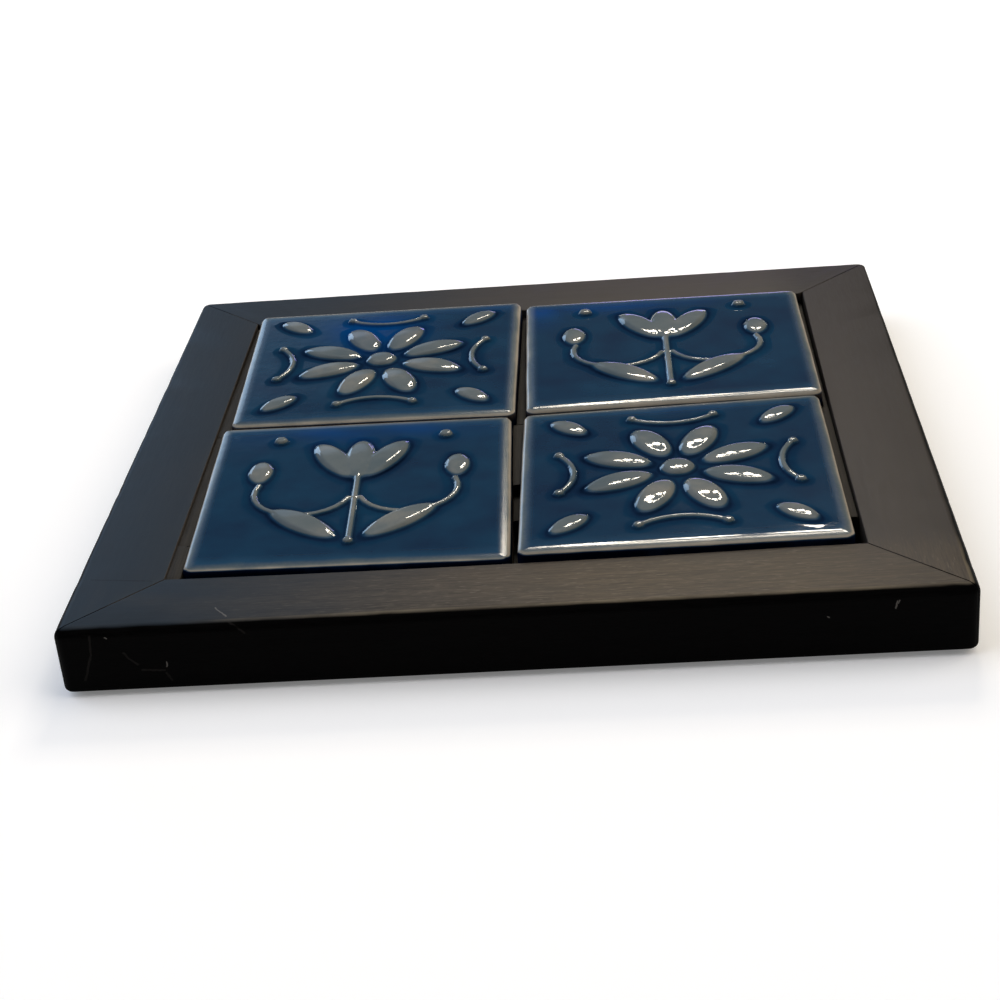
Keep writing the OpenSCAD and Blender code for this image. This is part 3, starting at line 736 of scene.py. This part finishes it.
def tile_mesh(tile, seed):
    """A pressed tile: its face is one fine sheet that rolls over the edge and down the sides."""
    start = noise_start(seed, "xyz")
    n = TILE_CELLS
    flat_half = TILE_S / 2 - TILE_EDGE_R
    inner_rings = n // 2 - EDGE_RINGS
    verts, glaze, clay, tint = [], [], [], []

    def rough(x, y, layer):
        return noise.noise(Vector((x, y, layer)) + start)

    def put(x, y, z, thickness, bare):
        rim = smoothstep(flat_half - 3 * MM, TILE_S / 2, max(abs(x), abs(y)))
        wave = rough(x * 45, y * 45, 0) * FACE_WAVE * (1 - 0.7 * rim)
        grow = 1 + rim * RIM_WANDER * rough(x * 70, y * 70, 3)
        verts.append(tile.placed(x * grow, y * grow, z + wave))
        glaze.append(thickness)
        clay.append(bare)
        # Spots of purer cobalt, partly a painted reflection of the sky
        u, v = x / TILE_S + 0.5, y / TILE_S + 0.5
        patch = 1 + 0.8 * rough(u * 6, v * 9, 0)
        bright = max(exp(-((u - cu) / ru) ** 2 - ((v - cv) / rv) ** 2) for cu, cv, ru, rv in tile.blues)
        tint.append(min(1.0, patch * bright) * min(1.0, thickness))

    # The relief is worked out on the grid and softened once, as glaze softens it
    grid = [(i, j) for i in range(n + 1) for j in range(n + 1)]
    spots = {}
    for i, j in grid:
        k = max(abs(i - n / 2), abs(j - n / 2))
        if k <= inner_rings:
            half, roll = flat_half * k / inner_rings, 0.0
        else:
            roll = (k - inner_rings) / EDGE_RINGS * pi / 2
            half = flat_half + TILE_EDGE_R * sin(roll)
        corner = max(0.0, TILE_CORNER_R - (TILE_S / 2 - half))
        x, y = ring_point((2 * i - n) / n, (2 * j - n) / n, half, corner)
        spots[i, j] = (x, y, roll, *relief_at(tile.shapes, x, y))
    near = [(di, dj, 1 / (1 + abs(di) + abs(dj)) ** 2) for di in (-1, 0, 1) for dj in (-1, 0, 1)]
    for i, j in grid:
        x, y, roll, height, pool = spots[i, j]
        around = [(spots[i + di, j + dj], weight) for di, dj, weight in near if (i + di, j + dj) in spots]
        total = sum(weight for spot, weight in around)
        height = sum(spot[3] * weight for spot, weight in around) / total
        pool = min(1.0, 1.6 * sum(spot[4] * weight for spot, weight in around) / total)
        drop = TILE_EDGE_R * (1 - cos(roll))
        out = max(abs(x), abs(y)) - flat_half
        if out < 0:
            drop += CROWN_SLOPE / (2 * CROWN_W) * max(0.0, out + CROWN_W) ** 2
        else:
            drop += CROWN_SLOPE * (CROWN_W / 2 + TILE_EDGE_R * sin(roll))
        # Glaze thins on the tops of the relief and pools at its foot
        thick = 0.2 + 0.8 * (1 - smoothstep(0.12 * MM, 0.75 * MM, height))
        thick += 0.5 * pool * (1 - smoothstep(0.3 * MM, 0.8 * MM, height))
        # It thins towards the rim and shows a little clay there, which also paints the rim lighter as a painted
        # highlight. Below the rim, higher up at the front, the edge is painted near black as shade.
        front = smoothstep(0.9, 1.0, -y / max(abs(x), abs(y), MM))
        back = smoothstep(0.9, 1.0, y / max(abs(x), abs(y), MM))
        past = roll * TILE_EDGE_R if roll else out
        ragged = rough(x * 160, y * 160, 7)
        thick *= 1 - 0.5 * smoothstep(-(2.6 + 3 * front) * MM, -0.5 * MM, past)
        thick *= 1 - 0.45 * back * smoothstep(-5 * MM, -2.5 * MM, past)
        thin = smoothstep(-(0.9 + 0.3 * ragged) * MM, (0.8 - 0.2 * ragged) * MM, past)
        # Past the hem the edge and the side take the deepest glaze colour, painted shade for the gap below the rim
        hem = 1.25 + (tile.hem - 1.25) * front + 0.08 * ragged
        below = smoothstep(hem - 0.18, hem + 0.18, roll)
        # The clay shown at the rim also paints it lighter, a painted highlight
        bare = 0.13 * smoothstep(-2.4 * MM, -0.5 * MM, past) * (1 - below) + tile.body * below
        put(x, y, tile.face + height - drop, thick * (1 - thin) * (1 - below) + 2 * below, bare)

    def index(i, j):
        return i * (n + 1) + j

    faces = [(index(i, j), index(i + 1, j), index(i + 1, j + 1), index(i, j + 1))
             for i in range(n) for j in range(n)]
    border = [(i, 0) for i in range(n)] + [(n, j) for j in range(n)]
    border += [(i, n) for i in range(n, 0, -1)] + [(0, j) for j in range(n, 0, -1)]
    rings = [[index(i, j) for i, j in border]]

    # Down the sides the glaze, painted near black as shade, ends in a ragged line, and the foot turns under
    side_top = tile.face - TILE_EDGE_R - CROWN_SLOPE * (CROWN_W / 2 + TILE_EDGE_R)
    for step in range(1, SIDE_STEPS + 2):
        share = step / SIDE_STEPS
        inset = TILE_FOOT_R if step > SIDE_STEPS else 0
        rings.append(list(range(len(verts), len(verts) + len(border))))
        for i, j in border:
            x, y = ring_point((2 * i - n) / n, (2 * j - n) / n, TILE_S / 2 - inset, TILE_CORNER_R - inset)
            if inset:
                put(x, y, tile.base, 0.0, 1.0)
            else:
                ragged = 0.15 * rough(x * 120, y * 120, 11)
                bare = smoothstep(0.45 + ragged, 0.75 + ragged, share)
                put(x, y, side_top + (tile.base + TILE_FOOT_R - side_top) * share, 2 * (1 - bare), bare)
    for last, ring in zip(rings, rings[1:]):
        faces += [(last[i], last[i - 1], ring[i - 1], ring[i]) for i in range(len(ring))]
    faces.append(tuple(rings[-1]))
    mesh = new_mesh(tile.name, verts, faces, 60)
    for label, values in (("glaze", glaze), ("clay", clay), ("tint", tint)):
        mesh.attributes.new(label, "FLOAT", "POINT").data.foreach_set("value", values)
    return mesh


# The corners of each tile, from the back left one round by the right
FRONT_LEFT = Tile(
    "front_left", tulip(), turn=0.4, pulls=((-1.25, 0.8), (-0.75, -0.6), (0.9, -0.5), (0.75, 1.4)),
    lifts=(1, 0.6, -0.3, 0), blues=((0.5, 1.0, 0.34, 0.12),), hem=0.62)
FRONT_RIGHT = Tile(
    "front_right", rosette(), turn=0.2, pulls=((-0.3, -0.4), (0.35, 0.8), (0.3, 0.1), (0, -0.5)),
    lifts=(-0.3, 0.3, -0.1, 0.2), blues=((0.5, 1.0, 0.25, 0.05),), hem=1.0)
BACK_LEFT = Tile(
    "back_left", rosette(), turn=0.4, pulls=((-1.1, 0.3), (0.5, -0.4), (0.4, -0.6), (0.9, 0.8)),
    lifts=(0.9, 0.75, -0.5, 0), blues=((0.45, 0.82, 0.17, 0.2), (0.85, 1.0, 0.2, 0.06)), hem=1.1, body=0.13)
BACK_RIGHT = Tile(
    "back_right", tulip(), turn=0.2, pulls=((-1.7, 0.2), (1.6, 0), (1.2, 0.2), (0, -0.8)),
    lifts=(-0.1, -0.35, 1, 0.6), blues=((0.36, 0.96, 0.24, 0.08), (0.04, 0.9, 0.08, 0.12)), hem=1.35, body=0.13)


def make_tiles():
    """The four tiles."""
    for seed, tile in enumerate((FRONT_LEFT, FRONT_RIGHT, BACK_LEFT, BACK_RIGHT)):
        seat(tile.name, tile_mesh(tile, seed), GLAZE, tile.node)


def tube_faces(rings, count):
    """Faces of a closed tube of rings with this many points each."""
    faces = []
    for i in range(rings - 1):
        for j in range(count):
            a, b = i * count + j, i * count + (j + 1) % count
            faces.append((a, b, b + count, a + count))
    return faces + [tuple(range(count)), tuple(range((rings - 1) * count, rings * count))]


def strip_mesh(name, low, high, left_at, right_at, slants, dips, seed):
    """A strip along Y that fills the space from left_at to right_at, sawn a little unevenly.

    Slants and dips are for its front and its back end: how its cut leans and how far its top sinks.
    """
    start = noise_start(seed, "xz")
    steps = max(6, int((high.y - low.y) / (1.5 * MM)))
    verts, grain = [], []
    for i in range(steps + 1):
        share = i / steps
        middle = low.y + (high.y - low.y) * share
        left = left_at(middle)
        w = max(right_at(middle) - left, 0.2 * MM)
        h = high.z - low.z - (dips[0] * (1 - share) + dips[1] * share) * MM
        ease = min(0.25 * MM, 0.3 * w)
        soft = ease * 0.3
        section = [(0, 0), (w, 0), (w, h - ease), (w - soft, h - soft), (w - ease, h), (ease, h), (soft, h - soft),
                   (0, h - ease)]
        pinch = 0.1 * MM if i in (0, steps) else 0.0
        slant = slants[0] if share < 0.5 else -slants[1]
        for x, z in section:
            y = middle + slant * MM * x / w * abs(1 - 2 * share)
            rough = noise.noise(Vector((x * 300, y * 160, z * 300)) + start) * 0.07 * MM
            dz = rough - pinch - 0.07 * MM if z > h / 2 else 0.0
            dx = min(abs(rough) + pinch, 0.3 * w)
            verts.append((left + x + (dx if x < w / 2 else -dx), y, low.z + z + dz))
            grain += (y + seed, x, z)
    mesh = new_mesh(name, verts, tube_faces(steps + 1, len(section)))
    mesh.attributes.new("grain", "FLOAT_VECTOR", "POINT").data.foreach_set("vector", grain)
    return mesh


def make_strips():
    """The strips that fill the gaps beside the tiles, each as wide as its gap."""
    # What is left open beside the left rail, beside the tiles and, as a dark gap, beside the right rail
    left_gap, tile_gap, dark_gap = 0.05 * MM, 0.12 * MM, 0.28 * MM

    def left_rail(y):
        return -HALF_W + RAIL_W - planed_off("left", -y / HALF_D) + left_gap

    def right_rail(y):
        return HALF_W - RAIL_W + planed_off("right", y / HALF_D) - dark_gap

    def right_of(tile):
        return lambda y: tile.side_at(1, y) + tile_gap

    def left_of(tile):
        return lambda y: tile.side_at(-1, y) - tile_gap

    def by_right_tiles(y):
        row_y = (FRONT_LEFT.centre.y + BACK_LEFT.centre.y) / 2
        return right_of(BACK_RIGHT if y > row_y else FRONT_RIGHT)(y)

    strips = (
        ("left_filler_back", left_rail, left_of(BACK_LEFT), (0, 0), (0, 0.4)),
        ("left_filler_front", left_rail, left_of(FRONT_LEFT), (0.8, 0), (0, 0)),
        ("left_filler_corner", left_rail, left_of(FRONT_LEFT), (0, 0.8), (0, 0)),
        ("centre_filler_back", right_of(BACK_LEFT), left_of(BACK_RIGHT), (0, 0), (0, 0.6)),
        ("centre_filler_front", right_of(FRONT_LEFT), left_of(FRONT_RIGHT), (0.3, 0), (0, 0)),
        ("centre_filler_slip", right_of(FRONT_LEFT), left_of(FRONT_RIGHT), (0.4, 0.3), (0, 0)),
        ("right_filler", by_right_tiles, right_rail, (-0.3, 0), (0, 2.2)),
    )
    for seed, (node, left_at, right_at, slants, dips) in enumerate(strips):
        name = node + "_wood"
        mesh = strip_mesh(name, *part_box(node), left_at, right_at, slants, dips, seed + 1)
        seat(name, mesh, STRIP, node)


def bed_mesh(name, low, high, seed):
    """A bed of adhesive, squeezed out unevenly round its edge."""
    start = noise_start(seed, "xy")
    centre = (low + high) / 2
    half = (high - low) / 2
    around, rows = 240, 7
    squeeze = 0.3 * MM
    verts = []
    for row in range(rows):
        share = row / (rows - 1)
        bulge = squeeze * sin(pi * share)
        for i in range(around):
            turn = tau * i / around
            across, along = cos(turn), sin(turn)
            square = max(abs(across), abs(along)) ** 0.85
            ragged = 1.2 * MM * (0.5 + noise.noise(Vector((across * 5, along * 5, share)) + start))
            reach = 1 - (ragged + squeeze - bulge) / half.x
            verts.append((centre.x + half.x * across / square * reach, centre.y + half.y * along / square * reach,
                          low.z + (high.z - low.z) * share))
    return new_mesh(name, verts, tube_faces(rows, around))


def foot_mesh(name, low, high):
    """A moulded rubber foot: a soft lower edge, a dished underside and a raised ring."""
    centre = (low + high) / 2
    r, h = (high.x - low.x) / 2, high.z - low.z
    soft = 0.5 * MM
    profile = [(0.0, 0.25 * MM), (r * 0.3, 0.23 * MM), (r * 0.42, 0.12 * MM), (r * 0.5, 0.12 * MM),
               (r * 0.56, 0.2 * MM), (r * 0.64, 0.16 * MM), (r * 0.74, 0.0)]
    profile += [(r - soft + soft * sin(radians(a)), soft - soft * cos(radians(a))) for a in range(0, 91, 15)]
    profile += [(r, h - 0.1 * MM), (r - 0.1 * MM, h), (0.0, h)]
    around = 72
    verts, faces, rings = [], [], []
    for radius, up in profile:
        count = around if radius else 1
        rings.append(list(range(len(verts), len(verts) + count)))
        for i in range(count):
            turn = tau * i / around
            verts.append((centre.x + radius * cos(turn), centre.y + radius * sin(turn), low.z + up))
    for lower, upper in zip(rings, rings[1:]):
        for i in range(around):
            j = (i + 1) % around
            corners = [lower[i % len(lower)], lower[j % len(lower)], upper[j % len(upper)], upper[i % len(upper)]]
            faces.append(tuple(dict.fromkeys(corners)))
    return new_mesh(name, verts, faces)


def make_beds_and_feet():
    """The adhesive under each tile and the rubber foot under each corner."""
    for seed, place in enumerate(("front_left", "front_right", "back_left", "back_right")):
        name, node = "adhesive_" + place, "bed_" + place
        seat(name, bed_mesh(name, *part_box(node), seed), ADHESIVE, node)
        name, node = "rubber_foot_" + place, "foot_" + place
        seat(name, foot_mesh(name, *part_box(node)), RUBBER, node)


def screw_tree(sizes):
    """Eight countersunk wood screws with a cross slot, two along each side of the base board."""
    tree, add, given = new_tree("wood_screws", sizes)

    # A cylinder one across and one high is drawn out to the screw's profile
    bar = add("GeometryNodeMeshCylinder", Vertices=36, Side_Segments=150, Radius=1.0, Depth=1.0)
    spot = add(SPLIT, add("GeometryNodeInputPosition")).outputs
    height = add(TIMES, add(PLUS, spot["Z"], 0.5), given["Length"])
    head_r = add(TIMES, given["Head Width"], 0.5)
    shank_r = add(TIMES, given["Shank Width"], 0.5)
    cone = add(RANGE, height, 0.0, given["Head Depth"], head_r, shank_r)
    tip_start = add(MINUS, given["Length"], given["Tip Length"])
    taper = add(RANGE, height, tip_start, given["Length"], 1.0, 0.04)

    # The thread climbs by its pitch in one turn
    turn = add(OVER, add(ARCTAN2, spot["Y"], spot["X"]), tau)
    climb = add(MINUS, add(OVER, height, given["Thread Pitch"]), turn)
    ridge = add(RANGE, add(PINGPONG, climb, 0.5), 0.15, 0.5)
    threaded = add(ABOVE, height, add(TIMES, given["Head Depth"], 2.0))
    groove = add(TIMES, add(TIMES, add(MINUS, 1.0, ridge), given["Thread Depth"]), threaded)
    radius = add(TIMES, add(MINUS, cone, groove), taper)
    drawn = add(JOIN, add(TIMES, spot["X"], radius), add(TIMES, spot["Y"], radius), height)
    bar = add("GeometryNodeSetPosition", bar, Position=drawn)

    # The cross slot
    deep = add(TIMES, given["Slot Depth"], 2.0)
    for across, along in (("Slot Length", "Slot Width"), ("Slot Width", "Slot Length")):
        cutter = add("GeometryNodeMeshCube", add(JOIN, given[across], given[along], deep))
        bar = add("GeometryNodeMeshBoolean", bar, cutter, operation="DIFFERENCE", solver="EXACT")

    # Two screws on each of the four sides
    index = add("GeometryNodeInputIndex")
    side = add(FLOOR, add(OVER, index, 2.0))
    hand = add(RANGE, add(MODULO, index, 2.0), 0.0, 1.0, -1.0, 1.0)
    odd = add(MODULO, side, 2.0)
    along = add(TIMES, add(MIX, odd, given["Along Front"], given["Along Side"]), hand)
    out = add(TIMES, add(MIX, odd, given["Out Front"], given["Out Side"]), -1.0)
    place = add(JOIN, along, out, given["Underside"])
    quarter = add(TIMES, side, pi / 2)
    place = add("ShaderNodeVectorRotate", place, Angle=quarter, rotation_type="Z_AXIS")
    spin = add(JOIN, Z=add(TIMES, index, 1.3))
    screws = add("GeometryNodeInstanceOnPoints", add("GeometryNodePoints", 8, place), Instance=bar, Rotation=spin)
    close_tree(add, screws, given)
    return tree


def make_screws():
    """The screws that hold the base board up in its rebate, a third of the way from each side's middle."""
    low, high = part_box("board_screws")
    share = 0.32
    half_w, half_d = HALF_W - RAIL_W, HALF_D - RAIL_W
    sizes = {
        "Length": high.z - low.z, "Head Width": 5.2 * MM, "Head Depth": 1.4 * MM, "Shank Width": 2.6 * MM,
        "Tip Length": 2.6 * MM, "Thread Pitch": 1.1 * MM, "Thread Depth": 0.35 * MM, "Slot Width": 0.6 * MM,
        "Slot Depth": 0.8 * MM, "Slot Length": 4.0 * MM, "Along Front": half_w * 2 * share,
        "Along Side": half_d * 2 * share, "Out Front": half_d + REBATE_W / 2, "Out Side": half_w + REBATE_W / 2,
        "Underside": low.z}
    name = "board_screw_set"
    seat(name, bake_tree(screw_tree(sizes), sizes, STEEL, name), STEEL, "board_screws")


def dress_cad_nodes():
    """Finishes for the CAD nodes that stay as they are."""
    for node, material in (("base_board", BOARD), ("mitre_v_nails", STEEL)):
        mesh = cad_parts[node].data
        mesh.materials.clear()
        mesh.materials.append(material)


def pale_floor(add):
    """A matt pale floor. Only the camera sees its glow, which takes the lit floor up to white."""
    glow = add(TIMES, add("ShaderNodeLightPath").outputs["Is Camera Ray"], 0.18)
    return dict(Base_Color="#fafaf8", Roughness=0.95, Specular_IOR_Level=0.0, Emission_Color="#ffffff",
                Emission_Strength=glow)


def put_lamp(name, kind, place, colour, energy, mirrored=True, **settings):
    """A lamp that shines at the trivet, and that glossy surfaces mirror or not."""
    lamp = bpy.data.lights.new(name, kind)
    for label, value in {"color": linear(colour)[:3], "energy": energy, **settings}.items():
        setattr(lamp, label, value)
    holder = bpy.data.objects.new(name, lamp)
    scene.collection.objects.link(holder)
    holder.location = place
    holder.visible_glossy = mirrored
    holder.rotation_euler = (-Vector(place)).to_track_quat("-Z", "Y").to_euler()


def make_stage():
    """A pale floor between a cool and a warm side light, with two low windows and a ring of bulbs behind."""
    half = 6.0
    mesh = bpy.data.meshes.new("floor")
    mesh.from_pydata([(-half, -half, 0), (half, -half, 0), (half, half, 0), (-half, half, 0)], [], [(0, 1, 2, 3)])
    mesh.materials.append(make_material(pale_floor))
    floor = bpy.data.objects.new("floor", mesh)
    scene.collection.objects.link(floor)

    for name, x, colour in (("cool_side", -1, "#e2ebff"), ("warm_side", 1, "#fff5e8")):
        put_lamp(name, "SUN", (x, 0.08, 1.0), colour, 1.45, mirrored=False, angle=radians(64))
    put_lamp("low_window", "AREA", (-0.72, 1.28, 0.31), "#a9cbee", 2.3, shape="RECTANGLE", size=0.5, size_y=0.54)
    put_lamp("violet_strip", "AREA", (0.15, 1.6, 0.12), "#a79cff", 0.4, shape="RECTANGLE", size=0.34, size_y=0.1)
    # Ten bulbs in a ring, which the glaze shows as clusters of dots
    bulbs, ring_r = 10, 0.155
    for i in range(bulbs):
        turn = tau * i / bulbs
        place = (0.13 + ring_r * cos(turn), 0.94, 0.8 + ring_r * sin(turn))
        put_lamp(f"ring_bulb_{i}", "POINT", place, "#fff3e0", 1.9, shadow_soft_size=0.036)


def make_room():
    """What the glaze mirrors: a dim room, cool on the left, warm on the right and pale overhead."""
    world = bpy.data.worlds.new("studio")
    scene.world = world
    world.use_nodes = True
    world.node_tree.nodes.clear()
    add = functools.partial(add_node, world.node_tree)
    around = add(PLACE).outputs["Generated"]
    parts = add(SPLIT, around).outputs
    walls = add(MIX_COLOURS, add(SMOOTH_RANGE, parts["X"], -0.6, 0.6), "#3f5068", "#5a5148")
    colour = add(MIX_COLOURS, add(SMOOTH_RANGE, parts["Z"], 0.6, 1.0), walls, "#c8c8c8")
    # Daylight from a window spreads over the wall on the left
    azimuth, elevation, outer, inner = (radians(a) for a in (-14, 17, 10, 3))
    toward = (sin(azimuth) * cos(elevation), cos(azimuth) * cos(elevation), sin(elevation))
    daylight = add(SMOOTH_RANGE, add(V_DOT, around, toward), cos(outer), cos(inner))
    colour = add(MIX_COLOURS, daylight, colour, "#90a6c2")
    ahead = add(SMOOTH_RANGE, parts["Y"], -0.35, 0.2, 0.12, 1.0)
    add("ShaderNodeOutputWorld", Surface=add("ShaderNodeBackground", colour, ahead))


def make_camera():
    """The photograph's view: where the camera stood, how it was turned and its lens."""
    place = Vector((29.04, -460.25, 229.54)) * MM
    azimuth, elevation, roll = (radians(a) for a in (4.535, 27.046, -5.170))
    focal_px, image_px = 1936.5, 1000
    data = bpy.data.cameras.new("camera")
    data.sensor_width = 36.0
    data.lens = focal_px / image_px * data.sensor_width
    data.clip_start = 0.01
    camera = bpy.data.objects.new("camera", data)
    scene.collection.objects.link(camera)
    forward = Vector((-sin(azimuth) * cos(elevation), cos(azimuth) * cos(elevation), -sin(elevation)))
    right = forward.cross(Vector((0, 0, 1))).normalized()
    up = right.cross(forward)
    rolled_right = cos(roll) * right + sin(roll) * up
    rolled_up = -sin(roll) * right + cos(roll) * up
    turn = Matrix((rolled_right, rolled_up, -forward)).transposed()
    camera.matrix_world = Matrix.Translation(place) @ turn.to_4x4()
    scene.camera = camera


make_rails()
make_tiles()
make_strips()
make_beds_and_feet()
make_screws()
dress_cad_nodes()
make_stage()
make_room()
make_camera()
scene.view_settings.view_transform = "Standard"
